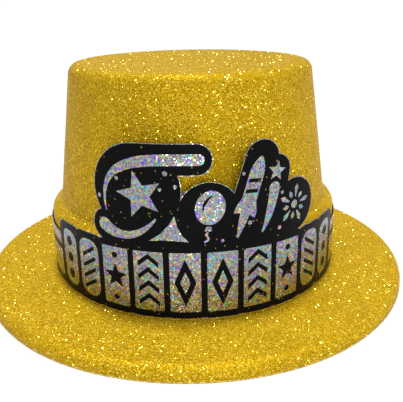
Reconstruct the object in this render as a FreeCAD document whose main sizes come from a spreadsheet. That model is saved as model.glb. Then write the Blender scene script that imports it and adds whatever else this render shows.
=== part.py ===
# Party top hat: a vacuum-formed plastic shell under a coat of glitter, with a die-cut
# banner of printed foil film stuck round a moulded band at the foot of the crown.
# Millimetres. Z up, the front (banner) faces -Y, the origin is the middle of the rim's base.
#
# Seen from above, every outline is one family of parallel ovals, each of four tangent
# 90 degree arcs. The "half width" of an oval is its reach along X; along Y it reaches
# depth_extra further. The centres of the arcs are the same for all of them, so each
# piece is a section turned about four upright axes.
import FreeCAD, Part
import os
import Sketcher
from math import sin, tan

doc = FreeCAD.newDocument("PartyHat")

sizes = {
    # crown and brim, measured on the glittered outside
    "depth_extra": 9.2,       # how much further every oval reaches along Y than along X
    "crown_height": 125.5,    # brim's top face to crown's top
    "lip_depth": 7.7,         # brim's top face down to the rim's edge
    "top_half": 73.9,         # crown's half width at its top
    "foot_half": 84.9,        # crown's half width where it meets the moulded band
    "foot_level": 43.5,       # height of that line above the brim
    "band_half": 91.1,        # moulded band's half width
    "shoulder_level": 39.0,   # height of the moulded band's top edge above the brim
    "rim_half": 134.9,        # brim's half width, at its upright rim
    "top_round": 6.5,
    "neck_round": 4.0,
    "shoulder_round": 5.0,
    "root_round": 0.8,
    "edge_round": 6.0,
    # walls
    "shell_wall": 0.8,
    "coat_wall": 0.3,
    "coat_stop": 0.7,         # bare plastic left under the glitter at the rim's edge
    # banner
    "pad_wall": 0.55,         # double-sided pads between moulded band and film
    "film_wall": 0.35,
    "print_wall": 0.08,
    "print_margin": 0.6,      # unprinted foil outside the black outline
    "film_gap": 0.2,          # film's lower edge above the rounding at the band's root
    "strap_top": 33.0,        # film's upper edge beside and behind the design
    "row_top": 42.8,          # film's upper edge along the row of tall blocks
    "row_left": 95.5,         # row's end, along the film from the front centre
    "row_right": 104.5,
    "stripe_low": 1.8,        # two printed pinstripes round the strap
    "stripe_low_wide": 3.4,
    "stripe_high": 22.4,
    "stripe_high_wide": 3.2,
    # pads and seam
    "pad_width": 14.0,
    "pad_low": 7.0,
    "pad_high": 27.0,
    "seam_lap": 16.0,         # overlap of the film's two ends, at the back
    "seam_root": 4.0,         # stretch where the outer end leaves the ring
    "seam_slit": 0.4,
    "seam_tape_wall": 0.15,
    "seam_tape_inset": 1.5,
}

# The upper design's rounded lobes: place along the film from the front centre (right is
# positive), height above the brim, and radius.
lobes = {
    "crest": (-29.5, 71.0, 24.0),
    "curl": (-47.0, 50.5, 9.0),
    "scroll_end": (2.0, 87.0, 8.0),
    "middle": (8.0, 60.0, 15.8),
    "tall_tip": (36.0, 85.2, 9.8),
    "short_tip": (44.5, 77.8, 8.8),
    "right": (57.2, 57.0, 15.2),
}
# Straight stretches between them: middle of the foot, length up, width, lean to the right.
bars = {
    "scroll_bar": (-28.0, 87.0, 30.0, 16.0, 90.0),
    "tall_bar": (22.0, 42.0, 45.4, 19.6, 18.0),
    "short_bar": (38.5, 42.0, 36.3, 17.6, 9.5),
    "base_left": (-26.25, 42.0, 19.5, 47.5, 0.0),
    "base_right": (27.0, 42.0, 16.0, 68.0, 0.0),
}
for lobe, (along, level, radius) in lobes.items():
    sizes.update({lobe + "_along": along, lobe + "_level": level, lobe + "_radius": radius})
for bar, (along, level, length, width, lean) in bars.items():
    sizes.update({bar + "_along": along, bar + "_level": level, bar + "_length": length,
                  bar + "_width": width, bar + "_lean": lean})

sheet = doc.addObject("Spreadsheet::Sheet", "Sheet")
for line, (alias, value) in enumerate(sizes.items(), start=1):
    sheet.set(f"A{line}", alias)
    sheet.set(f"B{line}", str(value))
    sheet.setAlias(f"B{line}", alias)
doc.recompute()

# Expressions shared by the pieces.
arc_shift = "(Sheet.depth_extra / (2 - sqrt(2)))"          # arc centres from the middle
side_radius = arc_shift                                    # radius minus half width, at the sides
end_radius = f"(Sheet.depth_extra - {arc_shift})"          # the same, at front and back
brim_z = "Sheet.lip_depth"
top_z = "(Sheet.lip_depth + Sheet.crown_height)"
film_in = "(Sheet.band_half + Sheet.pad_wall)"
film_out = f"({film_in} + Sheet.film_wall)"
print_out = f"({film_out} + Sheet.print_wall)"
lap_in = f"({film_out} + Sheet.seam_tape_wall)"
lap_out = f"({lap_in} + Sheet.film_wall)"
front_film_radius = f"({film_out} + {end_radius})"
side_film_radius = f"({film_out} + {side_radius})"
quarter_run = f"({front_film_radius} * pi / 4)"            # film length from front to side arc

upright = FreeCAD.Rotation(FreeCAD.Vector(1, 0, 0), 90)
start, end = 1, 2                                          # Sketcher's numbers for a line's points


def number(expression):
    """The present value of an expression, for a sketch's first drawing."""
    return float(sheet.evalExpression(expression))


def place_point(sketch, geometry, point, across, up):
    """Fix a sketch point by two expressions, both from the sketch's origin."""
    for kind, value in (("DistanceX", across), ("DistanceY", up)):
        index = sketch.addConstraint(Sketcher.Constraint(kind, geometry, point, number(value)))
        sketch.setExpression(f"Constraints[{index}]", value)


def rounded_path(name, corners):
    """An open upright sketch through corners (across, up, radius), rounded where a radius is given."""
    sketch = doc.addObject("Sketcher::SketchObject", name)
    sketch.Placement = FreeCAD.Placement(FreeCAD.Vector(), upright)
    points = [FreeCAD.Vector(number(across), number(up), 0) for across, up, radius in corners]
    # tangent points of every rounded corner
    arrive, leave, hubs = [points[0]], [points[0]], [None]
    for before, at, after, (across, up, radius) in zip(points, points[1:], points[2:], corners[1:]):
        back, on = (before - at).normalize(), (after - at).normalize()
        half_angle = back.getAngle(on) / 2
        reach = number(radius) / tan(half_angle)
        hubs.append(at + (back + on).normalize() * (number(radius) / sin(half_angle)))
        arrive.append(at + back * reach)
        leave.append(at + on * reach)
    arrive.append(points[-1])
    runs = [sketch.addGeometry(Part.LineSegment(leave[i], arrive[i + 1])) for i in range(len(points) - 1)]
    marks = [sketch.addGeometry(Part.Point(point), True) for point in points]
    for mark, (across, up, radius) in zip(marks, corners):
        place_point(sketch, mark, start, across, up)
    sketch.addConstraint(Sketcher.Constraint("Coincident", runs[0], start, marks[0], start))
    sketch.addConstraint(Sketcher.Constraint("Coincident", runs[-1], end, marks[-1], start))
    for i in range(1, len(points) - 1):
        for run in (runs[i - 1], runs[i]):
            sketch.addConstraint(Sketcher.Constraint("PointOnObject", marks[i], start, run))
        size = number(corners[i][2])
        knee = hubs[i] + (points[i] - hubs[i]).normalize() * size
        arc = sketch.addGeometry(Part.Arc(arrive[i], knee, leave[i]))
        at_start = sketch.getPoint(arc, start).distanceToPoint(arrive[i]) < sketch.getPoint(
            arc, start).distanceToPoint(leave[i])
        first, last = (start, end) if at_start else (end, start)
        sketch.addConstraint(Sketcher.Constraint("Tangent", runs[i - 1], end, arc, first))
        sketch.addConstraint(Sketcher.Constraint("Tangent", runs[i], start, arc, last))
        index = sketch.addConstraint(Sketcher.Constraint("Radius", arc, size))
        sketch.setExpression(f"Constraints[{index}]", corners[i][2])
    return sketch


def rectangle(name, near, far, low, high):
    """A closed upright sketch between two radii and two heights."""
    sketch = doc.addObject("Sketcher::SketchObject", name)
    sketch.Placement = FreeCAD.Placement(FreeCAD.Vector(), upright)
    x0, x1, z0, z1 = (number(value) for value in (near, far, low, high))
    corners = [FreeCAD.Vector(x, z, 0) for x, z in ((x0, z0), (x1, z0), (x1, z1), (x0, z1))]
    for i in range(4):
        sketch.addGeometry(Part.LineSegment(corners[i], corners[(i + 1) % 4]))
    for i in range(4):
        sketch.addConstraint(Sketcher.Constraint("Coincident", i, end, (i + 1) % 4, start))
    for i in (0, 2):
        sketch.addConstraint(Sketcher.Constraint("Horizontal", i))
        sketch.addConstraint(Sketcher.Constraint("Vertical", i + 1))
    place_point(sketch, 0, start, near, low)
    place_point(sketch, 2, start, far, high)
    return sketch


def offset(name, source, distance, fill):
    """A copy of an outline moved to its inner side, or the face between the two."""
    moved = doc.addObject("Part::Offset2D", name)
    moved.Source = source
    moved.Mode = "Skin"
    moved.Join = "Arc"
    moved.Fill = fill
    moved.setExpression("Value", distance)
    return moved


# The four axes: direction of each sector's middle, and its axis's place.
sectors = {
    "right": (0, f"-{arc_shift}", "0", side_radius),
    "back": (90, "0", arc_shift, end_radius),
    "left": (180, arc_shift, "0", side_radius),
    "front": (270, "0", f"-{arc_shift}", end_radius),
}


def turn(name, face, sector, first="-45", sweep="90"):
    """Turn an upright face about one of the four axes, from angle first through sweep."""
    direction, axis_x, axis_y, radius = sectors[sector]
    solid = doc.addObject("Part::Revolution", name)
    solid.Source = face
    solid.Axis = (0, 0, 1)
    solid.Base = (0, 0, 0)
    solid.Solid = True
    solid.setExpression("Angle", sweep)
    solid.setExpression(
        "Placement",
        f"placement(vector({axis_x}; {axis_y}; 0); rotation(vector(0; 0; 1); {direction} + {first}))")
    return solid


def join(name, pieces):
    joined = doc.addObject("Part::MultiFuse", name)
    joined.Shapes = pieces
    joined.Refine = True
    return joined


def all_round(name, make_face):
    """A wall that follows the oval: make_face draws its section for a given radius shift."""
    faces = {}
    pieces = []
    for sector, (_, _, _, radius) in sectors.items():
        if radius not in faces:
            faces[radius] = make_face(f"{name}_{sector}_section", radius)
        pieces.append(turn(f"{name}_{sector}", faces[radius], sector))
    return pieces


# The glittered outside, from the crown's centre down to the rim, where it stops at base.
def hat_outline(name, shift, base):
    corners = [
        ("0", top_z, None),
        (f"Sheet.top_half + {shift}", top_z, "Sheet.top_round"),
        (f"Sheet.foot_half + {shift}", f"{brim_z} + Sheet.foot_level", "Sheet.neck_round"),
        (f"Sheet.band_half + {shift}", f"{brim_z} + Sheet.shoulder_level", "Sheet.shoulder_round"),
        (f"Sheet.band_half + {shift}", brim_z, "Sheet.root_round"),
        (f"Sheet.rim_half + {shift}", brim_z, "Sheet.edge_round"),
        (f"Sheet.rim_half + {shift}", base, None),
    ]
    return rounded_path(name, corners)


def coat_face(name, shift):
    outline = hat_outline(f"{name}_line", shift, "Sheet.coat_stop")
    return offset(name, outline, "-Sheet.coat_wall", True)


def shell_face(name, shift):
    outline = hat_outline(f"{name}_line", shift, "0")
    outside = offset(f"{name}_outside", outline, "-Sheet.coat_wall", False)
    return offset(name, outside, "-Sheet.shell_wall", True)


def wall_face(near, far, low, high):
    """A drawing function for all_round: the section of an upright wall."""
    def draw(name, shift):
        return rectangle(name, f"{near} + {shift}", f"{far} + {shift}", low, high)
    return draw


glitter_coat = join("glitter_coat", all_round("coat", coat_face))
hat_shell = join("hat_shell", all_round("shell", shell_face))


# Banner. Flat lengths along the film become angles on the front arc.
def on_front(along, level):
    """A frame on the film's front: X along the film, Y up, Z outwards."""
    angle = f"({along} / {front_film_radius} * 180 / pi)"
    return (f"placement(vector(0; -{arc_shift}; {brim_z} + {level}); "
            f"rotation(vector(0; 0; 1); {angle}) * rotation(vector(1; 0; 0); 90))")


def upper_outline(name, margin):
    """The rounded outline of the upper design, as solids that pass through the film's front."""
    pieces = []
    for lobe in lobes:
        disc = doc.addObject("Part::Cylinder", f"{name}_{lobe}")
        disc.setExpression("Radius", f"Sheet.{lobe}_radius - {margin}")
        disc.setExpression("Height", f"{front_film_radius} * 1.5")
        disc.setExpression("Placement", on_front(f"Sheet.{lobe}_along", f"Sheet.{lobe}_level"))
        pieces.append(disc)
    for bar in bars:
        block = doc.addObject("Part::Box", f"{name}_{bar}")
        block.setExpression("Length", f"Sheet.{bar}_width - 2 * {margin}")
        block.setExpression("Width", f"Sheet.{bar}_length")
        block.setExpression("Height", f"{front_film_radius} * 1.5")
        block.setExpression(
            "Placement",
            on_front(f"Sheet.{bar}_along", f"Sheet.{bar}_level")
            + f" * placement(vector(0; 0; 0); rotation(vector(0; 0; 1); -Sheet.{bar}_lean))"
            + f" * placement(vector(-Sheet.{bar}_width / 2 + {margin}; 0; 0); rotation(vector(0; 0; 1); 0))")
        pieces.append(block)
    return join(f"{name}_outline", pieces)


def design_pieces(name, near, far, margin, base):
    """The banner's front at the wanted radii: the row of blocks and the upper design."""
    row_top = f"{brim_z} + Sheet.row_top - {margin}"
    faces = {}
    for place, shift in (("side", side_radius), ("front", end_radius)):
        faces[place] = rectangle(f"{name}_{place}_row", f"{near} + {shift}", f"{far} + {shift}",
                                 base, row_top)
    pieces = [turn(f"{name}_row_front", faces["front"], "front")]
    for side, length in (("left", "Sheet.row_left"), ("right", "Sheet.row_right")):
        sweep = f"(({length} - {margin} - {quarter_run}) / {side_film_radius} * 180 / pi)"
        first = "-45" if side == "right" else f"(45 - {sweep})"
        pieces.append(turn(f"{name}_row_{side}", faces["side"], side, first, sweep))
    tall = rectangle(f"{name}_upper_section", f"{near} + {end_radius}", f"{far} + {end_radius}",
                     base, f"{brim_z} + Sheet.crown_height")
    tall_side = rectangle(f"{name}_upper_side_section", f"{near} + {side_radius}",
                          f"{far} + {side_radius}", base, f"{brim_z} + Sheet.crown_height")
    wall = join(f"{name}_upper_wall", [
        turn(f"{name}_upper_front", tall, "front"),
        turn(f"{name}_upper_right", tall_side, "right", "-45", "20")])
    upper = doc.addObject("Part::MultiCommon", f"{name}_upper")
    upper.Shapes = [wall, upper_outline(name, margin)]
    return pieces + [upper]


film_base = f"{brim_z} + Sheet.root_round + Sheet.film_gap"
film_strap = all_round("film_strap", wall_face(film_in, film_out, film_base,
                                               f"{brim_z} + Sheet.strap_top"))
film_ring = join("film_ring", film_strap + design_pieces("film", film_in, film_out, "0", film_base))

# The film's ends lap at the back: the ring is slit, and one end passes over the slit.
lap_angle = f"(Sheet.seam_lap / 2 / {front_film_radius} * 180 / pi)"
root_angle = f"(Sheet.seam_root / {front_film_radius} * 180 / pi)"
slit = doc.addObject("Part::Box", "seam_slit_block")
slit.setExpression("Length", "Sheet.seam_slit")
slit.setExpression("Width", "Sheet.crown_height")
slit.setExpression("Height", f"{brim_z} + Sheet.crown_height")
slit.setExpression("Placement.Base.x", "-Sheet.seam_lap / 2 - Sheet.seam_slit")
slit.setExpression("Placement.Base.y", arc_shift)
slit_ring = doc.addObject("Part::Cut", "film_slit_ring")
slit_ring.Base = film_ring
slit_ring.Tool = slit
lap_section = rectangle("lap_section", f"{lap_in} + {end_radius}", f"{lap_out} + {end_radius}",
                        film_base, f"{brim_z} + Sheet.strap_top")
root_section = rectangle("root_section", f"{film_out} + {end_radius}", f"{lap_in} + {end_radius}",
                         film_base, f"{brim_z} + Sheet.strap_top")
lap = turn("lap", lap_section, "back", f"-{lap_angle}", f"2 * {lap_angle} + {root_angle} + 0.5")
root = turn("lap_root", root_section, "back", f"{lap_angle} + 0.5", root_angle)
banner_film = join("banner_film", [slit_ring, lap, root])

tape_section = rectangle("seam_tape_section", f"{film_out} + {end_radius}", f"{lap_in} + {end_radius}",
                         f"{film_base} + Sheet.seam_tape_inset",
                         f"{brim_z} + Sheet.strap_top - Sheet.seam_tape_inset")
tape_inset = f"(Sheet.seam_tape_inset / {front_film_radius} * 180 / pi)"
seam_tape = turn("seam_tape", tape_section, "back", f"-{lap_angle} + {tape_inset}",
                 f"2 * ({lap_angle} - {tape_inset})")

# Ink: the design's ground, and two pinstripes round the strap that stop short of the seam.
print_base = f"{film_base} + Sheet.print_margin"
print_pieces = design_pieces("ink", film_out, print_out, "Sheet.print_margin", print_base)
for stripe, low, wide in (("low", "Sheet.stripe_low", "Sheet.stripe_low_wide"),
                          ("high", "Sheet.stripe_high", "Sheet.stripe_high_wide")):
    for place, shift, turns in (
            ("side", side_radius, (("left", "-45", "90"), ("right", "-45", "90"))),
            ("back", end_radius, (
                ("back", "-45", f"45 - {lap_angle} - {tape_inset}"),
                ("back", f"{lap_angle} + {root_angle} + {tape_inset}",
                 f"45 - {lap_angle} - {root_angle} - {tape_inset}")))):
        section = rectangle(f"{stripe}_stripe_{place}", f"{film_out} + {shift}", f"{print_out} + {shift}",
                            f"{brim_z} + {low}", f"{brim_z} + {low} + {wide}")
        for count, (sector, first, sweep) in enumerate(turns):
            print_pieces.append(turn(f"{stripe}_stripe_{sector}_{count}", section, sector, first, sweep))
banner_print = join("banner_print", print_pieces)

# Double-sided pads hold the film off the moulded band, evenly spaced round the hat.
pad_pieces = []
for place, shift in (("side", side_radius), ("end", end_radius)):
    section = rectangle(f"pad_{place}_section", f"Sheet.band_half + {shift}", f"{film_in} + {shift}",
                        f"{brim_z} + Sheet.pad_low", f"{brim_z} + Sheet.pad_high")
    pad_sweep = f"(Sheet.pad_width / ({film_in} + {shift}) * 180 / pi)"
    for sector in (("right", "left") if place == "side" else ("back", "front")):
        for direction in (-22.5, 22.5):
            pad_pieces.append(turn(f"pad_{sector}_{'a' if direction < 0 else 'b'}", section, sector,
                                   f"({direction} - {pad_sweep} / 2)", pad_sweep))
tape_pads = doc.addObject("Part::Compound", "tape_pads")
tape_pads.Links = pad_pieces

nodes = [hat_shell, glitter_coat, banner_film, banner_print, tape_pads, seam_tape]
for node in nodes:
    node.Label = node.Name
doc.recompute()

for item in doc.Objects:
    if {"Invalid", "Error"} & set(item.State):
        raise RuntimeError(f"{item.Name} did not rebuild: {item.State}")
for node in nodes:
    if node.Shape.isNull() or not node.Shape.isValid() or not node.Shape.Solids:
        raise RuntimeError(f"{node.Name} has no sound solid")

os.makedirs("parts", exist_ok=True)
for node in nodes:
    node.Shape.exportStep(f"parts/{node.Label}.step")
    box = node.Shape.optimalBoundingBox(False)
    print(f"{node.Label}: {len(node.Shape.Solids)} solids, {node.Shape.Volume:.0f} mm3, "
          f"x {box.XMin:.1f}..{box.XMax:.1f} y {box.YMin:.1f}..{box.YMax:.1f} z {box.ZMin:.1f}..{box.ZMax:.1f}")
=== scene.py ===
import math

import bpy
from mathutils import Matrix, Vector


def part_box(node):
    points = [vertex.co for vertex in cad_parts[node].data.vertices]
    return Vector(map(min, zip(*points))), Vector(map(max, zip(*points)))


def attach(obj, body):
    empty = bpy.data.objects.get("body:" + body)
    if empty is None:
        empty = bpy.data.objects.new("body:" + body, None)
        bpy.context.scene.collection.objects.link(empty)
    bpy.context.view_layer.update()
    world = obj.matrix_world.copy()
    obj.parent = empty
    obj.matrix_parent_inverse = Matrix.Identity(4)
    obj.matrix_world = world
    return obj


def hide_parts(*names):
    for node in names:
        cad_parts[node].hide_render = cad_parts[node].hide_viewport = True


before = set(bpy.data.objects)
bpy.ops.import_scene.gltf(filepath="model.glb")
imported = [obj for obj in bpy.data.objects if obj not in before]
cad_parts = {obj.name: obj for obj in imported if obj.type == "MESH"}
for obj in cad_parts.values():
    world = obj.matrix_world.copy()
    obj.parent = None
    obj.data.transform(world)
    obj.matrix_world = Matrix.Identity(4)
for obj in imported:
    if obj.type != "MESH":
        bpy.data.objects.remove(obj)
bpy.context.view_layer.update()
print("frame loaded")

mm = 0.001

# The hat is one family of parallel ovals, each of four tangent quarter arcs. "Half" is an
# oval's reach along X, and the arcs' centres are the same for all of them.
coatLow, coatHigh = (Vector(corner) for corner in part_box("glitter_coat"))
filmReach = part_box("banner_film")[1][0]
depthExtra = coatHigh.y - coatHigh.x
arcShift = depthExtra / (2 - math.sqrt(2))

hat = {
    "topLevel": coatHigh.z,
    "rimHalf": coatHigh.x,
    "brimLevel": 7.7 * mm,
    "topHalf": 73.9 * mm,
    "footHalf": 84.9 * mm,
    "footLevel": 51.2 * mm,
    "bandHalf": 91.1 * mm,
    "shoulderLevel": 46.7 * mm,
    "topRound": 6.5 * mm,
    "neckRound": 4.0 * mm,
    "shoulderRound": 5.0 * mm,
    "rootRound": 0.8 * mm,
    "edgeRound": 6.0 * mm,
    "capHalf": 14.0 * mm,      # the flat top is filled inside this oval
    "coatWall": 0.3 * mm,
    "shellWall": 0.8 * mm,
    "coatStop": coatLow.z,
    "cornerSteps": 8,
    "quarterSteps": 40,
    "smoothAngle": math.radians(40),
    # well off both middle planes; faces that tie from the second keep their order from the first
    "sortFrom": ((0.05, -0.1, 0.2), (0.31, 0.173, 0.057)),
}


def pickNothing():
    bpy.ops.object.select_all(action="DESELECT")


def pickOnly(*pieces):
    pickNothing()
    for piece in pieces:
        piece.select_set(True)
    bpy.context.view_layer.objects.active = pieces[0]


def applyModifiers(piece):
    pickOnly(piece)
    for modifier in list(piece.modifiers):
        bpy.ops.object.modifier_apply(modifier=modifier.name)


def finishPiece(piece, name, material, slotName, *nodes):
    pickOnly(piece)
    bpy.ops.object.transform_apply(location=True, rotation=True, scale=True)
    piece.name = piece.data.name = name
    piece.data.materials.clear()
    piece.data.materials.append(material)
    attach(piece, "root")
    if nodes:
        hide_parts(*nodes)
    pickNothing()


def roundedPath(corners, steps):
    # corners are (half, level, radius); a corner with no radius is an end of the line
    path = [Vector(corners[0][:2])]
    for before, at, after in zip(corners, corners[1:], corners[2:]):
        corner = Vector(at[:2])
        back = (Vector(before[:2]) - corner).normalized()
        onward = (Vector(after[:2]) - corner).normalized()
        halfAngle = back.angle(onward) / 2
        hub = corner + (back + onward).normalized() * (at[2] / math.sin(halfAngle))
        arrive = corner + back * (at[2] / math.tan(halfAngle)) - hub
        leave = corner + onward * (at[2] / math.tan(halfAngle)) - hub
        turn = arrive.angle_signed(leave)
        for step in range(steps + 1):
            angle = -turn * step / steps
            path.append(hub + Matrix.Rotation(angle, 2) @ arrive)
    path.append(Vector(corners[-1][:2]))
    return path


def insetPath(path, distance):
    # every point moves to the line's inner side, square to the line
    shifted = []
    for index, point in enumerate(path):
        before = path[max(index - 1, 0)]
        after = path[min(index + 1, len(path) - 1)]
        along = (after - before).normalized()
        shifted.append(point + Vector((along.y, -along.x)) * distance)
    return shifted


def hatPath(stop, inset):
    corners = [
        (hat["capHalf"], hat["topLevel"]),
        (hat["topHalf"], hat["topLevel"], hat["topRound"]),
        (hat["footHalf"], hat["footLevel"], hat["neckRound"]),
        (hat["bandHalf"], hat["shoulderLevel"], hat["shoulderRound"]),
        (hat["bandHalf"], hat["brimLevel"], hat["rootRound"]),
        (hat["rimHalf"], hat["brimLevel"], hat["edgeRound"]),
        (hat["rimHalf"], stop),
    ]
    return insetPath(roundedPath(corners, hat["cornerSteps"]), inset)


def spinHat(section):
    # the section is drawn point by point, then spun round the four arcs' centres in turn
    pickNothing()
    bpy.ops.mesh.primitive_plane_add(size=mm, location=(0, 0, 0))
    piece = bpy.context.object
    bpy.ops.object.mode_set(mode="EDIT")
    bpy.ops.mesh.merge(type="CENTER")
    bpy.ops.transform.translate(value=(section[0].x, 0, section[0].y))
    pen = section[0]
    for point in section[1:]:
        step = (point.x - pen.x, 0, point.y - pen.y)
        bpy.ops.mesh.extrude_vertices_move(TRANSFORM_OT_translate={"value": step})
        pen = point
    bpy.ops.mesh.select_all(action="SELECT")
    quarter = math.pi / 2
    # seen from above the spin runs clockwise: half the right side, front, left, back, right again
    turns = [((-arcShift, 0, 0), 0.5), ((0, -arcShift, 0), 1), ((arcShift, 0, 0), 1),
             ((0, arcShift, 0), 1), ((-arcShift, 0, 0), 0.5)]
    for centre, share in turns:
        bpy.ops.mesh.spin(steps=round(hat["quarterSteps"] * share), angle=quarter * share,
                          center=centre, axis=(0, 0, 1))
    bpy.ops.mesh.select_all(action="SELECT")
    bpy.ops.mesh.remove_doubles(threshold=0.01 * mm)
    bpy.ops.mesh.fill_holes(sides=0)
    bpy.ops.mesh.normals_make_consistent(inside=False)
    # a spin numbers its faces anew each time, and the flakes are laid by those numbers
    bpy.ops.mesh.select_all(action="SELECT")
    for place in hat["sortFrom"]:
        bpy.context.scene.cursor.location = place
        bpy.ops.mesh.sort_elements(type="CURSOR_DISTANCE", elements={"FACE"})
    bpy.context.scene.cursor.location = (0, 0, 0)
    bpy.ops.object.mode_set(mode="OBJECT")
    bpy.ops.object.shade_smooth_by_angle(angle=hat["smoothAngle"])
    return piece


def makeShell():
    outside = hatPath(0, hat["coatWall"])
    inside = insetPath(outside, hat["shellWall"])
    piece = spinHat(outside + inside[::-1])
    finishPiece(piece, "moulded_shell", goldPlastic(), "shell_plastic", "hat_shell")


flakeForm = {
    "radius": 0.3 * mm, "narrow": 0.82, "thick": 0.03 * mm,
    "stand": 0.15 * mm, "tilt": 0.6,                                        # above the lacquer
    "brimDensity": 180000, "sideDensity": 100000, "topDensity": 380000,     # in a square metre
    "sideStart": 12 * mm, "sideStop": hat["topLevel"] - 2.5 * mm,
    "seed": 11,
}


def makeCoat():
    # the lacquer stops short of the coat's full thickness, and the loose flakes stand up from it
    outside = hatPath(hat["coatStop"], flakeForm["stand"])
    inside = insetPath(hatPath(hat["coatStop"], 0), hat["coatWall"])
    piece = spinHat(outside + inside[::-1])
    finishPiece(piece, "glitter_surface", goldGlitter(), "gold_glitter", "glitter_coat")


def scatterFlakes(name, low, high, density):
    # one six-sided plate, laid all over the lacquer between two levels at small random tilts
    form = flakeForm
    skin = spinHat(hatPath(hat["coatStop"], form["stand"]))
    pickNothing()
    bpy.ops.mesh.primitive_cylinder_add(vertices=6, radius=form["radius"], depth=form["thick"])
    plate = bpy.context.object
    bpy.ops.object.mode_set(mode="EDIT")
    bpy.ops.mesh.select_all(action="SELECT")
    bpy.ops.transform.resize(value=(1, form["narrow"], 1))
    bpy.ops.object.mode_set(mode="OBJECT")

    tree = bpy.data.node_groups.new(name, "GeometryNodeTree")
    tree.interface.new_socket("Geometry", in_out="INPUT", socket_type="NodeSocketGeometry")
    tree.interface.new_socket("Geometry", in_out="OUTPUT", socket_type="NodeSocketGeometry")
    given, result = tree.nodes.new("NodeGroupInput"), tree.nodes.new("NodeGroupOutput")
    place = tree.nodes.new("GeometryNodeInputPosition")
    level = addNode(tree, "ShaderNodeSeparateXYZ", {0: place.outputs[0]}).outputs["Z"]
    normal = tree.nodes.new("GeometryNodeInputNormal")
    facing = addNode(tree, "ShaderNodeSeparateXYZ", {0: normal.outputs[0]}).outputs["Z"]
    within = sumOf(tree, "MULTIPLY", sumOf(tree, "GREATER_THAN", level, low),
                   sumOf(tree, "LESS_THAN", level, high))
    # the face that closes the skin below looks down, and gets none
    chosen = sumOf(tree, "MULTIPLY", within, sumOf(tree, "GREATER_THAN", facing, -0.5))
    spread = addNode(tree, "GeometryNodeDistributePointsOnFaces", {
        "Mesh": given.outputs[0], "Selection": chosen, "Density": density, "Seed": form["seed"]})
    lean = addNode(tree, "FunctionNodeRandomValue", {0: (-form["tilt"], -form["tilt"], 0),
                                                     1: (form["tilt"], form["tilt"], math.pi)},
                   data_type="FLOAT_VECTOR")
    turned = addNode(tree, "FunctionNodeRotateRotation", {
        "Rotation": spread.outputs["Rotation"], "Rotate By": lean.outputs[0]}, rotation_space="LOCAL")
    copies = addNode(tree, "GeometryNodeInstanceOnPoints", {
        "Points": spread.outputs["Points"], "Rotation": turned.outputs[0],
        "Instance": addNode(tree, "GeometryNodeObjectInfo", {"Object": plate}).outputs["Geometry"]})
    joined = addNode(tree, "GeometryNodeRealizeInstances", {"Geometry": copies.outputs[0]})
    tree.links.new(joined.outputs[0], result.inputs[0])
    skin.modifiers.new("scatter", "NODES").node_group = tree
    applyModifiers(skin)
    print(name, len(skin.data.polygons) // len(plate.data.polygons), "flakes")
    bpy.data.objects.remove(plate)
    finishPiece(skin, name, looseFlake(), "gold_glitter", "glitter_coat")


# The banner is drawn flat first, in millimetres: along the film from the front's middle (right
# is positive) and up from the brim. Then it is cut out, sliced and bent round the band.
banner = {
    "outerHalf": filmReach,
    "filmWall": 0.35,
    "printWall": 0.08,
    "printMargin": 0.3,
    "base": 1.0,
    "strapTop": 33.0,
    "lapReach": 8.0,          # how far each end passes the middle of the back
    "lapRampStart": 16.0,
    "lapRampEnd": 9.0,
    "lapLift": 0.5,
    "slice": 2.0,             # width of the strips it is bent in
    "strapRound": 0.4,
    "stripes": ((1.8, 5.2), (22.4, 25.6)),
    "stripeRound": 0.2,
    "stripeStop": 0.5,        # from the film's end
    "smoothAngle": math.radians(30),
}
row = {
    "first": -82.5, "step": 19.45, "count": 10,
    "width": 16.2, "low": 5.0, "high": 38.6, "endRound": 6.5, "round": 0.9,
    "groundWidth": 25.0, "groundLow": 1.3, "groundHigh": 42.5, "groundRound": 6.0,
}
lobes = {                      # along, up, radius of the foil's rounded outline
    "crest": (-29.5, 71.0, 24.0), "curl": (-47.0, 50.5, 9.0), "scrollEnd": (2.0, 87.0, 8.0),
    "middle": (8.0, 60.0, 15.8), "tallTip": (36.0, 85.2, 9.8), "shortTip": (44.5, 77.8, 8.8),
    "right": (57.2, 57.0, 15.2),
}
bars = {                       # foot along, foot up, length, width, lean to the right
    "scrollBar": (-28.0, 87.0, 30.0, 16.0, 90.0), "tallBar": (22.0, 42.0, 45.4, 19.6, 18.0),
    "shortBar": (38.5, 42.0, 36.3, 17.6, 9.5), "baseLeft": (-26.25, 40.0, 21.5, 47.5, 0.0),
    "baseRight": (27.0, 40.0, 18.0, 68.0, 0.0),
}


def disc(along, up, radius, tall=None, lean=0, steps=48):
    tall = radius if tall is None else tall
    points = [Vector((radius * math.cos(turn), tall * math.sin(turn)))
              for turn in (2 * math.pi * step / steps for step in range(steps))]
    return moved(points, along, up, lean)


def moved(points, along, up, lean=0):
    # lean turns a shape clockwise, in degrees
    turn = Matrix.Rotation(math.radians(-lean), 2)
    return [turn @ point + Vector((along, up)) for point in points]


def block(along, up, width, tall, radius, steps=6):
    # a rounded rectangle about its middle
    points = []
    for quarter, (right, high) in enumerate(((1, 1), (-1, 1), (-1, -1), (1, -1))):
        hub = Vector((right * (width / 2 - radius), high * (tall / 2 - radius)))
        for step in range(steps + 1):
            turn = math.pi / 2 * (quarter + step / steps)
            points.append(hub + radius * Vector((math.cos(turn), math.sin(turn))))
    return moved(points, along, up)


def barOutline(along, up, length, width, lean, grow=0):
    half = width / 2 + grow
    points = [Vector(corner) for corner in ((-half, 0), (half, 0), (half, length), (-half, length))]
    return moved(points, along, up, lean)


def star(along, up, radius, waist=0.43, tips=5, lean=0):
    points = []
    for step in range(2 * tips):
        reach = radius if step % 2 == 0 else radius * waist
        turn = math.pi * step / tips
        points.append(Vector((reach * math.sin(turn), reach * math.cos(turn))))
    return moved(points, along, up, lean)


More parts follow.
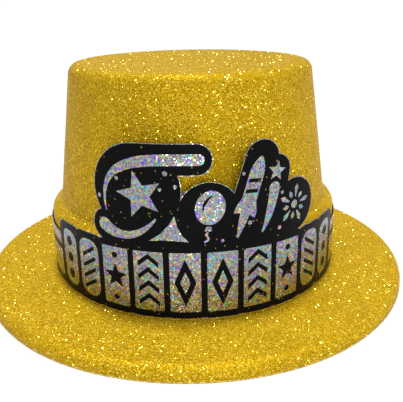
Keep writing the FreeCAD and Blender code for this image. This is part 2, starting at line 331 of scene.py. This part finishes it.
def bezier(controls, share):
    points = [Vector(point) for point in controls]
    while len(points) > 1:
        points = [a.lerp(b, share) for a, b in zip(points, points[1:])]
    return points[0]


def ribbon(controls, widths, steps=28, roundEnd=True):
    # a strip along a bezier line, whose width runs through the given widths
    line = [bezier(controls, step / steps) for step in range(steps + 1)]
    left, right = [], []
    for index, point in enumerate(line):
        share = index / steps * (len(widths) - 1)
        low = min(int(share), len(widths) - 2)
        half = (widths[low] + (widths[low + 1] - widths[low]) * (share - low)) / 2
        ahead = (line[min(index + 1, steps)] - line[max(index - 1, 0)]).normalized()
        side = Vector((-ahead.y, ahead.x)) * half
        left.append(point + side)
        right.append(point - side)
    tip = []
    if roundEnd:
        ahead = (line[-1] - line[-2]).normalized()
        side = Vector((-ahead.y, ahead.x))
        half = widths[-1] / 2
        tip = [line[-1] + half * (side * math.cos(turn) + ahead * math.sin(turn))
               for turn in (math.pi * step / 10 for step in range(1, 10))]
    return left + tip + right[::-1]


def rocket(along, up, lean):
    # stick, flame, finned body and nose, pointing up
    half = [(0.5, 0), (2.2, 9), (2.6, 13.0), (6.0, 12.0), (6.0, 15.5), (4.1, 20.5), (4.1, 35.0),
            (3.5, 38.0), (2.4, 40.8), (0.9, 43.0)]
    points = [Vector(point) for point in half] + [Vector((0, 43.6))]
    points += [Vector((-x, y)) for x, y in half[::-1]]
    return moved(points, along, up, lean)


def rocketStripe(along, up, lean, level):
    points = [Vector(corner) for corner in ((-3.1, 0), (3.1, 1.6), (3.1, 3.6), (-3.1, 2.0))]
    return moved([point + Vector((0, level)) for point in points], along, up, lean)


def upperWindows():
    # each window in the black ground is a list of loops: its outline, then what stays black in it
    loops = []
    swoosh = ((-46.5, 58.5), (-50.0, 76.0), (-41.5, 87.5), (-24.0, 87.2), (-10.0, 87.0), (3.2, 86.9))
    loops.append([ribbon(swoosh, (0.8, 2.6, 4.6, 5.8, 5.8, 5.8))])
    loops.append([star(-27.0, 68.6, 12.8, lean=-14)])
    tail = ((-18.8, 56.5), (-27.0, 46.5), (-38.0, 43.0), (-48.3, 50.6))
    loops.append([ribbon(tail, (1.0, 3.4, 4.6, 7.6))])
    loops.append([[Vector(point) for point in (
        (-23.0, 44.6), (-16.0, 45.3), (-9.0, 45.2), (-2.4, 44.6), (-5.6, 48.0), (-8.0, 52.5), (-9.4, 58.5),
        (-12.4, 53.6), (-17.0, 48.6))]])
    # balloon with its knot, a glint and a string
    loops.append([disc(8.6, 62.4, 7.6, 9.0, 12),
                  ribbon(((4.9, 60.5), (5.0, 66.0), (9.6, 68.6)), (0.5, 1.7, 0.5), 10, False)])
    loops.append([[Vector(point) for point in ((6.5, 52.6), (8.9, 52.6), (9.4, 50.2), (5.4, 50.2))]])
    loops.append([ribbon(((7.4, 49.4), (3.8, 47.6), (10.6, 46.6), (5.8, 44.6)), (1.1, 1.1), 12)])
    # tall rocket, small shooting star, burst
    loops.append([rocket(22.4, 45.2, 17.6)])
    loops[-1] += [rocketStripe(22.4, 45.2, 17.6, level) for level in (23.4, 29.0)]
    loops.append([star(44.7, 77.6, 5.7, lean=10)])
    loops.append([ribbon(((36.2, 46.4), (39.6, 52.0), (42.2, 60.0), (43.4, 69.0)), (1.2, 4.6, 6.6))])
    for ray in range(10):
        lean = 36 * ray + 9
        reach = 11.4 if ray % 2 == 0 else 8.6
        points = [Vector(point) for point in ((-0.4, 4.2), (0.4, 4.2), (1.45, reach - 2.4), (0.0, reach),
                                              (-1.45, reach - 2.4))]
        loops.append([moved(points, 57.4, 57.4, lean)])
    loops.append([disc(57.4, 57.4, 2.3, steps=24)])
    # confetti
    for along, up, radius in ((-50.6, 66.0, 1.2), (14.6, 44.6, 0.9), (-13.4, 80.2, 1.3), (-8.6, 73.6, 1.0),
                              (29.2, 52.6, 1.2), (48.4, 65.6, 1.0), (-39.2, 76.4, 1.1),
                              (-16.2, 72.0, 0.9), (47.2, 46.6, 1.2), (25.6, 78.6, 0.9)):
        loops.append([disc(along, up, radius, steps=16)])
    return loops


def rowWindows():
    windows = []
    middle = (row["low"] + row["high"]) / 2
    tall = row["high"] - row["low"]
    for index in range(row["count"]):
        along = row["first"] + row["step"] * index
        kind = min(index, row["count"] - 1 - index)
        side = 1 if index < row["count"] / 2 else -1
        loops = [block(along, middle, row["width"], tall, row["endRound"] if kind < 2 else row["round"])]
        if kind == 0:
            loops += [disc(along, middle + drop, 2.9, steps=32) for drop in (-10, 0, 10)]
        elif kind == 1:
            for drop in (-9.6, -3.2, 3.2, 9.6):
                loops.append([Vector((along + x, middle + drop + y)) for x, y in (
                    (-5, -3 * side - 1.2), (5, 3 * side - 1.2), (5, 3 * side + 1.2), (-5, -3 * side + 1.2))])
        elif kind == 2:
            loops.append(star(along, middle, 7.2))
            loops += [disc(along, middle + drop, 1.7, steps=24) for drop in (-12.2, 12.2)]
        elif kind == 3:
            for drop in (-12.4, -5.0, 2.4, 9.8):
                loops.append([Vector((along + x, middle + drop + y)) for x, y in (
                    (-5.6, -1.6), (0, 2.9), (5.6, -1.6), (5.6, 1.2), (0, 5.7), (-5.6, 1.2))])
        else:
            for wide, tallHalf in ((5.7, 13.4), (2.7, 6.4)):
                loops.append([Vector((along + x, middle + y)) for x, y in (
                    (0, -tallHalf), (wide, 0), (0, tallHalf), (-wide, 0))])
        windows.append(loops)
    return windows


def cutShape(loops, front, back):
    # a flat filled outline as a closed solid, upright, between two depths
    outline = bpy.data.curves.new("outline", "CURVE")
    outline.dimensions = "2D"
    outline.fill_mode = "BOTH"
    outline.extrude = (back - front) / 2
    for loop in loops:
        spline = outline.splines.new("POLY")
        spline.points.add(len(loop) - 1)
        for point, place in zip(spline.points, loop):
            point.co = (place.x, place.y, 0, 1)
        spline.use_cyclic_u = True
    piece = bpy.data.objects.new("outline", outline)
    bpy.context.collection.objects.link(piece)
    pickOnly(piece)
    bpy.ops.object.convert(target="MESH")
    piece.rotation_euler = (math.pi / 2, 0, 0)
    piece.location = (0, (front + back) / 2, 0)
    bpy.ops.object.transform_apply(location=True, rotation=True, scale=True)
    bpy.ops.object.mode_set(mode="EDIT")
    bpy.ops.mesh.select_all(action="SELECT")
    bpy.ops.mesh.remove_doubles(threshold=0.001)
    bpy.ops.mesh.normals_make_consistent(inside=False)
    bpy.ops.object.mode_set(mode="OBJECT")
    return piece


def holds(outline, point):
    # whether a closed outline holds a point
    inside = False
    for a, b in zip(outline, outline[1:] + outline[:1]):
        if (a.y > point.y) != (b.y > point.y):
            inside ^= point.x < a.x + (b.x - a.x) * (point.y - a.y) / (b.y - a.y)
    return inside


def unitedOutline(outlines):
    # the edge of several overlapping outlines, all drawn anticlockwise: each edge is split where
    # the others cross it, the parts inside another outline go, and the rest are strung together
    reaches = [(min(p.x for p in o), max(p.x for p in o), min(p.y for p in o), max(p.y for p in o))
               for o in outlines]
    parts = []
    for outline, (left, right, low, high) in zip(outlines, reaches):
        near = [other for other, reach in zip(outlines, reaches) if other is not outline
                and reach[0] < right and reach[1] > left and reach[2] < high and reach[3] > low]
        for a, b in zip(outline, outline[1:] + outline[:1]):
            shares = [0.0, 1.0]
            for c, d in (edge for other in near for edge in zip(other, other[1:] + other[:1])):
                area = (b - a).cross(d - c)
                if abs(area) > 1e-9:
                    share, far = (c - a).cross(d - c) / area, (c - a).cross(b - a) / area
                    if 0 < share < 1 and 0 <= far <= 1:
                        shares.append(share)
            shares.sort()
            for first, last in zip(shares, shares[1:]):
                start, stop = a.lerp(b, first), a.lerp(b, last)
                middle = (start + stop) / 2
                if (stop - start).length > 0.001 and not any(holds(other, middle) for other in near):
                    parts.append((start, stop))
    loops = []
    while parts:
        start, stop = parts.pop()
        loop = [stop]
        while (stop - start).length > 0.01:
            following = min(parts, key=lambda part: (part[0] - stop).length)
            parts.remove(following)
            stop = following[1]
            loop.append(stop)
        loops.append(loop)
    return loops


def bentRound(piece):
    # sliced upright, then every point goes to its place round the oval
    pickOnly(piece)
    bpy.ops.object.mode_set(mode="EDIT")
    ends = [corner[0] for corner in piece.bound_box]
    cuts = int((max(ends) - min(ends)) / banner["slice"])
    for cut in range(1, cuts + 1):
        bpy.ops.mesh.select_all(action="SELECT")
        bpy.ops.mesh.bisect(plane_co=(min(ends) + cut * banner["slice"], 0, 0), plane_no=(1, 0, 0))
    bpy.ops.object.mode_set(mode="OBJECT")
    for vertex in piece.data.vertices:
        vertex.co = ovalPlace(vertex.co.x * mm, -vertex.co.y * mm, hat["brimLevel"] + vertex.co.z * mm)
    bpy.ops.object.mode_set(mode="EDIT")
    bpy.ops.mesh.select_all(action="SELECT")
    bpy.ops.mesh.remove_doubles(threshold=0.001 * mm)
    bpy.ops.mesh.normals_make_consistent(inside=False)
    bpy.ops.object.mode_set(mode="OBJECT")
    bpy.ops.object.shade_smooth_by_angle(angle=banner["smoothAngle"])
    return piece


def ovalPlace(along, out, level):
    # along is measured on the film's outer face
    endRadius = banner["outerHalf"] + depthExtra - arcShift
    sideRadius = banner["outerHalf"] + arcShift
    endRun, sideRun = endRadius * math.pi / 4, sideRadius * math.pi / 2
    backRun = 2 * endRun + sideRun
    start, stop = (backRun - banner[key] * mm for key in ("lapRampStart", "lapRampEnd"))
    share = min(max((-along - start) / (stop - start), 0), 1)
    out += banner["lapLift"] * mm * share * share * (3 - 2 * share)
    run = abs(along)
    if run < endRun:
        angle = run / endRadius - math.pi / 2
        place = Vector((0, -arcShift)) + (endRadius + out) * Vector((math.cos(angle), math.sin(angle)))
    elif run < endRun + sideRun:
        angle = (run - endRun) / sideRadius - math.pi / 4
        place = Vector((-arcShift, 0)) + (sideRadius + out) * Vector((math.cos(angle), math.sin(angle)))
    else:
        angle = (run - endRun - sideRun) / endRadius + math.pi / 4
        place = Vector((0, arcShift)) + (endRadius + out) * Vector((math.cos(angle), math.sin(angle)))
    return Vector((math.copysign(1, along) * place.x, place.y, level))


def designOutlines(grow):
    # the rounded ground of the whole design; grow widens it to the foil's edge
    outlines = [disc(along, up, radius - banner["printMargin"] + grow, steps=72)
                for along, up, radius in lobes.values()]
    outlines += [barOutline(along, up, length, width - 2 * banner["printMargin"], lean, grow)
                 for along, up, length, width, lean in bars.values()]
    low, high = row["groundLow"], row["groundHigh"] + grow
    outlines += [block(row["first"] + row["step"] * index, (low + high) / 2, row["groundWidth"] + 2 * grow,
                       high - low, row["groundRound"] + grow) for index in range(row["count"])]
    return outlines


def filmHalf():
    # half of the flat film's length: half the oval's girth and one end's part of the lap
    return math.pi * (2 * banner["outerHalf"] + depthExtra) / 2 / mm + banner["lapReach"]


def makeFilm():
    strap = block(0, (banner["base"] + banner["strapTop"]) / 2, 2 * filmHalf(),
                  banner["strapTop"] - banner["base"], banner["strapRound"])
    loops = unitedOutline([strap] + designOutlines(banner["printMargin"]))
    foil = bentRound(cutShape(loops, 0, banner["filmWall"]))
    finishPiece(foil, "foil_banner", holographicFoil(), "holographic_film", "banner_film")


def makePrint():
    stripeEnd = filmHalf() - banner["stripeStop"]
    rowMiddle = row["first"] + row["step"] * (row["count"] - 1) / 2
    outlines = designOutlines(0)
    for low, high in banner["stripes"]:
        for end in (-stripeEnd, stripeEnd):
            outlines.append(block((rowMiddle + end) / 2, (low + high) / 2, abs(end - rowMiddle),
                                  high - low, banner["stripeRound"]))
    loops = unitedOutline(outlines) + [loop for window in upperWindows() + rowWindows() for loop in window]
    ink = bentRound(cutShape(loops, -banner["printWall"], 0))
    finishPiece(ink, "printed_design", blackInk(), "black_ink", "banner_print")


def newMaterial(name):
    material = bpy.data.materials.new(name)
    material.use_nodes = True
    tree = material.node_tree
    shader = tree.nodes["Principled BSDF"]
    place = tree.nodes.new("ShaderNodeTexCoord")
    return material, tree, shader, place.outputs["Object"]


def addNode(tree, kind, values=None, **settings):
    node = tree.nodes.new(kind)
    for key, value in settings.items():
        setattr(node, key, value)
    for key, value in (values or {}).items():
        if isinstance(value, bpy.types.NodeSocket):
            tree.links.new(value, node.inputs[key])
        else:
            node.inputs[key].default_value = value
    return node


def sumOf(tree, operation, *values):
    node = tree.nodes.new("ShaderNodeMath")
    node.operation = operation
    for socket, value in zip(node.inputs, values):
        if isinstance(value, bpy.types.NodeSocket):
            tree.links.new(value, socket)
        else:
            socket.default_value = value
    return node.outputs[0]


def vectorSum(tree, operation, *values, scale=None):
    node = tree.nodes.new("ShaderNodeVectorMath")
    node.operation = operation
    for socket, value in zip(node.inputs, values):
        if isinstance(value, bpy.types.NodeSocket):
            tree.links.new(value, socket)
        else:
            socket.default_value = value
    if isinstance(scale, bpy.types.NodeSocket):
        tree.links.new(scale, node.inputs["Scale"])
    elif scale is not None:
        node.inputs["Scale"].default_value = scale
    return node.outputs[0]


def blendColour(tree, share, low, high, mode="MIX"):
    node = tree.nodes.new("ShaderNodeMix")
    node.data_type = "RGBA"
    node.blend_type = mode
    for socket, value in ((node.inputs[0], share), (node.inputs[6], low), (node.inputs[7], high)):
        if isinstance(value, bpy.types.NodeSocket):
            tree.links.new(value, socket)
        else:
            socket.default_value = value
    return node.outputs[2]


def rampOf(tree, share, *stops):
    node = tree.nodes.new("ShaderNodeValToRGB")
    tree.links.new(share, node.inputs[0])
    ramp = node.color_ramp
    while len(ramp.elements) < len(stops):
        ramp.elements.new(0.5)
    for element, (place, colour) in zip(ramp.elements, stops):
        element.position = place
        element.color = (*colour, 1)
    return node.outputs[0]


def newGroup(name, inputs, outputs):
    group = bpy.data.node_groups.new(name, "ShaderNodeTree")
    for label, kind, value in inputs:
        socket = group.interface.new_socket(label, in_out="INPUT", socket_type=f"NodeSocket{kind}")
        if value is not None:
            socket.default_value = value
    for label, kind in outputs:
        group.interface.new_socket(label, in_out="OUTPUT", socket_type=f"NodeSocket{kind}")
    return group, group.nodes.new("NodeGroupInput"), group.nodes.new("NodeGroupOutput")


def flakeGroup():
    # small flat flakes, each with a random tone, hue and tilt of its own
    if "flakes" in bpy.data.node_groups:
        return bpy.data.node_groups["flakes"]
    group, given, result = newGroup(
        "flakes",
        [("Place", "Vector", None), ("Size", "Float", 0.0006), ("Tilt", "Float", 0.4)],
        [("Tone", "Float"), ("Hue", "Float"), ("Rarity", "Float"), ("Normal", "Vector")])
    scaled = vectorSum(group, "SCALE", given.outputs["Place"],
                       scale=sumOf(group, "DIVIDE", 1.0, given.outputs["Size"]))
    cells = addNode(group, "ShaderNodeTexVoronoi", {"Vector": scaled, "Scale": 1.0, "Randomness": 1.0},
                    voronoi_dimensions="3D", feature="F1")
    parts = addNode(group, "ShaderNodeSeparateColor", {"Color": cells.outputs["Color"]})
    centred = vectorSum(group, "SUBTRACT", cells.outputs["Color"], (0.5, 0.5, 0.5))
    surface = addNode(group, "ShaderNodeNewGeometry")
    leaning = vectorSum(group, "ADD", surface.outputs["Normal"],
                        vectorSum(group, "SCALE", centred, scale=given.outputs["Tilt"]))
    normal = vectorSum(group, "NORMALIZE", leaning)
    other = addNode(group, "ShaderNodeTexWhiteNoise", {"Vector": cells.outputs["Position"]},
                    noise_dimensions="3D")
    group.links.new(parts.outputs[0], result.inputs["Tone"])
    group.links.new(parts.outputs[1], result.inputs["Hue"])
    group.links.new(other.outputs["Value"], result.inputs["Rarity"])
    group.links.new(normal, result.inputs["Normal"])
    return group


def flakes(tree, place, size, tilt):
    node = tree.nodes.new("ShaderNodeGroup")
    node.node_tree = flakeGroup()
    tree.links.new(place, node.inputs["Place"])
    node.inputs["Size"].default_value = size
    node.inputs["Tilt"].default_value = tilt
    return node


glitterFinish = {
    "grainSize": 0.45 * mm, "grainTilt": 0.4, "grainRoughness": 0.5, "grainMetallic": 0.2,
    "sparkSize": 0.5 * mm, "sparkTilt": 1.5, "sparkRoughness": 0.2, "sparkMetallic": 0.8,
    "sparkShare": 0.1,
    "driftScale": 55.0, "driftShade": (0.90, 0.88, 0.86),       # broad, faint unevenness
    "deep": (0.20, 0.11, 0.001), "gold": (0.47, 0.29, 0.003), "bright": (0.92, 0.66, 0.07),
    "glow": (1.0, 0.66, 0.03), "gloss": 0.06,      # the lacquer's tint and shine
}


def goldGlitter():
    form = glitterFinish
    material, tree, shader, place = newMaterial("goldGlitter")
    grain = flakes(tree, place, form["grainSize"], form["grainTilt"])
    spark = flakes(tree, place, form["sparkSize"], form["sparkTilt"])
    tone = rampOf(tree, grain.outputs["Tone"], (0.0, form["deep"]), (0.4, form["gold"]),
                  (0.8, form["gold"]), (1.0, form["bright"]))
    chosen = sumOf(tree, "LESS_THAN", spark.outputs["Rarity"], form["sparkShare"])
    drift = addNode(tree, "ShaderNodeTexNoise", {"Vector": place, "Scale": form["driftScale"],
                                                 "Detail": 3.0})
    shade = rampOf(tree, drift.outputs["Fac"], (0.3, form["driftShade"]), (0.7, (1.0, 1.0, 1.0)))
    shaded = blendColour(tree, 1.0, tone, shade, "MULTIPLY")
    colour = blendColour(tree, chosen, shaded, (*form["bright"], 1))
    tree.links.new(colour, shader.inputs["Base Color"])
    for quality in ("Roughness", "Metallic"):
        between = addNode(tree, "ShaderNodeMapRange", {
            "Value": chosen, "To Min": form["grain" + quality], "To Max": form["spark" + quality]})
        tree.links.new(between.outputs[0], shader.inputs[quality])
    mixed = addNode(tree, "ShaderNodeMix", data_type="VECTOR")
    tree.links.new(chosen, mixed.inputs[0])
    tree.links.new(grain.outputs["Normal"], mixed.inputs[4])
    tree.links.new(spark.outputs["Normal"], mixed.inputs[5])
    tree.links.new(mixed.outputs[1], shader.inputs["Normal"])
    shader.inputs["Specular Tint"].default_value = (*form["glow"], 1)
    shader.inputs["Specular IOR Level"].default_value = form["gloss"]
    return material


looseFinish = {
    "bright": (1.0, 0.78, 0.20), "dim": (0.80, 0.54, 0.06), "patch": 2.0 * mm,
    "metallic": 0.75, "roughness": 0.16,
}


def looseFlake():
    if "looseFlake" in bpy.data.materials:
        return bpy.data.materials["looseFlake"]
    form = looseFinish
    material, tree, shader, place = newMaterial("looseFlake")
    shade = flakes(tree, place, form["patch"], 0.0)
    tree.links.new(rampOf(tree, shade.outputs["Tone"], (0.0, form["dim"]), (1.0, form["bright"])),
                   shader.inputs["Base Color"])
    shader.inputs["Metallic"].default_value = form["metallic"]
    shader.inputs["Roughness"].default_value = form["roughness"]
    return material


plasticFinish = {
    "colour": (0.60, 0.39, 0.06), "worn": (0.528, 0.3432, 0.0528), "metallic": 0.75, "roughness": 0.3,
    "rippleScale": 90.0, "rippleStrength": 0.25, "rippleDepth": 0.4 * mm, "wearScale": 24.0,
    "straySize": 0.8 * mm, "strayTilt": 0.6, "stray": (0.95, 0.72, 0.16),
    "rimShare": 0.5, "insideShare": 0.006, "rimReach": 6 * mm,      # how much glitter strays inside
}


def goldPlastic():
    form = plasticFinish
    material, tree, shader, place = newMaterial("goldPlastic")
    ripple = addNode(tree, "ShaderNodeTexNoise", {"Vector": place, "Scale": form["rippleScale"],
                                                  "Detail": 2.0})
    bump = addNode(tree, "ShaderNodeBump", {
        "Strength": form["rippleStrength"], "Distance": form["rippleDepth"],
        "Height": ripple.outputs["Fac"]})
    wear = addNode(tree, "ShaderNodeTexNoise", {"Vector": place, "Scale": form["wearScale"],
                                                "Detail": 5.0})
    colour = rampOf(tree, wear.outputs["Fac"], (0.35, form["worn"]), (0.65, form["colour"]))
    stray = flakes(tree, place, form["straySize"], form["strayTilt"])
    height = addNode(tree, "ShaderNodeSeparateXYZ", {"Vector": place}).outputs["Z"]
    nearRim = addNode(tree, "ShaderNodeMapRange", {
        "Value": height, "From Min": 0.0, "From Max": form["rimReach"],
        "To Min": form["rimShare"], "To Max": form["insideShare"]}).outputs[0]
    dusted = sumOf(tree, "LESS_THAN", stray.outputs["Rarity"], nearRim)
    tree.links.new(blendColour(tree, dusted, colour, (*form["stray"], 1)), shader.inputs["Base Color"])
    tree.links.new(bump.outputs["Normal"], shader.inputs["Normal"])
    shader.inputs["Metallic"].default_value = form["metallic"]
    shader.inputs["Roughness"].default_value = form["roughness"]
    return material


foilFinish = {
    "fleckSize": 1.1 * mm, "fleckShare": 0.26,
    "grainSize": 0.6 * mm, "grainTilt": 0.4, "hueShare": 0.45, "roughness": 0.22,
    "silver": (0.48, 0.48, 0.47), "shadow": (0.06, 0.06, 0.065), "grainHue": (0.48, 0.21, 0.21),
    # the flecks' colours, each with its place in the run of hues
    "vivid": ((0.0, (0.16, 0.08, 0.75)), (0.25, (0.28, 0.14, 0.75)), (0.4, (0.06, 0.42, 0.62)),
              (0.55, (0.10, 0.60, 0.42)), (0.7, (0.42, 0.62, 0.12)), (0.84, (0.75, 0.52, 0.10)),
              (1.0, (0.75, 0.30, 0.32))),
}


def holographicFoil():
    # silver foil, full of tiny points that each split the light into one colour
    form = foilFinish
    material, tree, shader, place = newMaterial("holographicFoil")
    fleck = flakes(tree, place, form["fleckSize"], 0.0)
    grain = flakes(tree, place, form["grainSize"], form["grainTilt"])
    rainbow = addNode(tree, "ShaderNodeHueSaturation", {
        "Hue": grain.outputs["Hue"], "Saturation": 1.0, "Value": 1.0, "Fac": 1.0,
        "Color": (*form["grainHue"], 1)})
    grey = rampOf(tree, grain.outputs["Tone"], (0.1, form["shadow"]), (0.9, form["silver"]))
    ground = blendColour(tree, form["hueShare"], grey, rainbow.outputs["Color"])
    vivid = rampOf(tree, fleck.outputs["Hue"], *form["vivid"])
    chosen = sumOf(tree, "LESS_THAN", fleck.outputs["Rarity"], form["fleckShare"])
    tree.links.new(blendColour(tree, chosen, ground, vivid), shader.inputs["Base Color"])
    tree.links.new(grain.outputs["Normal"], shader.inputs["Normal"])
    shader.inputs["Metallic"].default_value = 1.0
    shader.inputs["Roughness"].default_value = form["roughness"]
    return material


inkFinish = {
    "black": (0.003, 0.003, 0.0035), "roughness": 0.35, "specular": 0.05,
    "dustShare": 0.006, "dustSize": 0.6 * mm, "dust": (0.30, 0.20, 0.03),
    "rippleScale": 260.0, "rippleStrength": 0.2, "rippleDepth": 0.15 * mm,
}


def blackInk():
    form = inkFinish
    material, tree, shader, place = newMaterial("blackInk")
    dust = flakes(tree, place, form["dustSize"], 0.0)
    dusted = sumOf(tree, "LESS_THAN", dust.outputs["Rarity"], form["dustShare"])
    ripple = addNode(tree, "ShaderNodeTexNoise", {"Vector": place, "Scale": form["rippleScale"],
                                                  "Detail": 2.0})
    bump = addNode(tree, "ShaderNodeBump", {
        "Strength": form["rippleStrength"], "Distance": form["rippleDepth"],
        "Height": ripple.outputs["Fac"]})
    tree.links.new(blendColour(tree, dusted, (*form["black"], 1), (*form["dust"], 1)),
                   shader.inputs["Base Color"])
    tree.links.new(bump.outputs["Normal"], shader.inputs["Normal"])
    shader.inputs["Roughness"].default_value = form["roughness"]
    shader.inputs["Specular IOR Level"].default_value = form["specular"]
    return material


tapeFinish = {
    "poreSize": 0.35 * mm, "dim": (0.70, 0.70, 0.67), "bright": (0.88, 0.88, 0.86), "roughness": 0.75,
}


def whiteTape():
    form = tapeFinish
    material, tree, shader, place = newMaterial("whiteTape")
    pores = flakes(tree, place, form["poreSize"], 0.0)
    colour = rampOf(tree, pores.outputs["Tone"], (0.0, form["dim"]), (1.0, form["bright"]))
    tree.links.new(colour, shader.inputs["Base Color"])
    shader.inputs["Roughness"].default_value = form["roughness"]
    return material


def dressCadNodes():
    # the pads and the seam's tape keep their own shapes and get a foam tape's look
    tape = whiteTape()
    for name in ("tape_pads", "seam_tape"):
        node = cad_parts[name]
        for slot in node.material_slots:
            slot.material = tape


studio = {
    "cameraPlace": (0.8 * mm, -365.8 * mm, 164.7 * mm),
    "cameraDown": 0.330, "cameraTurn": 0.013, "cameraRoll": -0.017,
    "lens": 51.2, "sensorWidth": 36, "nearest": 0.01,
    "floorSize": 40, "floor": (0.61, 0.61, 0.61), "floorRoughness": 0.9,
    "backdrop": 1.1, "skyLight": 0.36,        # how white the backdrop looks, and how much it lights
    # strength, width, height and turn to the right of the camera, in degrees
    "lamps": {"topSun": (3.9, 12, 93, -10), "frontSun": (1.35, 22, 9, 5), "sideSun": (0.6, 30, 12, 70),
              "glintSun": (0.12, 3, 146, 8)},
}


def makeStudio():
    pickNothing()
    bpy.ops.mesh.primitive_plane_add(size=studio["floorSize"], location=(0, 0, 0))
    floor = bpy.context.object
    floor.name = "floor"
    material, _, shader, _ = newMaterial("paleFloor")
    shader.inputs["Base Color"].default_value = (*studio["floor"], 1)
    shader.inputs["Roughness"].default_value = studio["floorRoughness"]
    floor.data.materials.append(material)

    world = bpy.context.scene.world or bpy.data.worlds.new("studio")
    bpy.context.scene.world = world
    world.use_nodes = True
    sky = world.node_tree
    backdrop = addNode(sky, "ShaderNodeMapRange", {
        "Value": sky.nodes.new("ShaderNodeLightPath").outputs["Is Camera Ray"],
        "To Min": studio["skyLight"], "To Max": studio["backdrop"]})
    sky.nodes["Background"].inputs["Color"].default_value = (1, 1, 1, 1)
    sky.links.new(backdrop.outputs[0], sky.nodes["Background"].inputs["Strength"])

    for name, (strength, width, height, turn) in studio["lamps"].items():
        bpy.ops.object.light_add(type="SUN", location=(0, 0, 1))
        sun = bpy.context.object
        sun.name = name
        sun.data.energy = strength
        sun.data.angle = math.radians(width)
        sun.rotation_euler = (math.radians(90 - height), 0, math.radians(turn))

    turn, down, roll = studio["cameraTurn"], studio["cameraDown"], studio["cameraRoll"]
    forward = Vector((math.sin(turn) * math.cos(down), math.cos(turn) * math.cos(down), -math.sin(down)))
    right = Vector((math.cos(turn), -math.sin(turn), 0))
    up = right.cross(forward)
    rolledRight = math.cos(roll) * right + math.sin(roll) * up
    rolledUp = math.cos(roll) * up - math.sin(roll) * right
    bpy.ops.object.camera_add(location=studio["cameraPlace"])
    camera = bpy.context.object
    camera.rotation_euler = Matrix((rolledRight, rolledUp, -forward)).transposed().to_euler()
    camera.data.lens = studio["lens"]
    camera.data.sensor_width = studio["sensorWidth"]
    camera.data.clip_start = studio["nearest"]
    bpy.context.scene.camera = camera
    bpy.context.scene.view_settings.view_transform = "Standard"
    print("floor, lights and camera placed")


makeShell()
makeCoat()
print("crown and brim spun")
scatterFlakes("brim_flakes", 0, flakeForm["sideStart"], flakeForm["brimDensity"])
scatterFlakes("side_flakes", flakeForm["sideStart"], flakeForm["sideStop"], flakeForm["sideDensity"])
scatterFlakes("top_flakes", flakeForm["sideStop"], 2 * hat["topLevel"], flakeForm["topDensity"])
print("loose flakes laid")
makeFilm()
print("foil banner cut and bent")
makePrint()
print("print cut and bent")
dressCadNodes()
makeStudio()
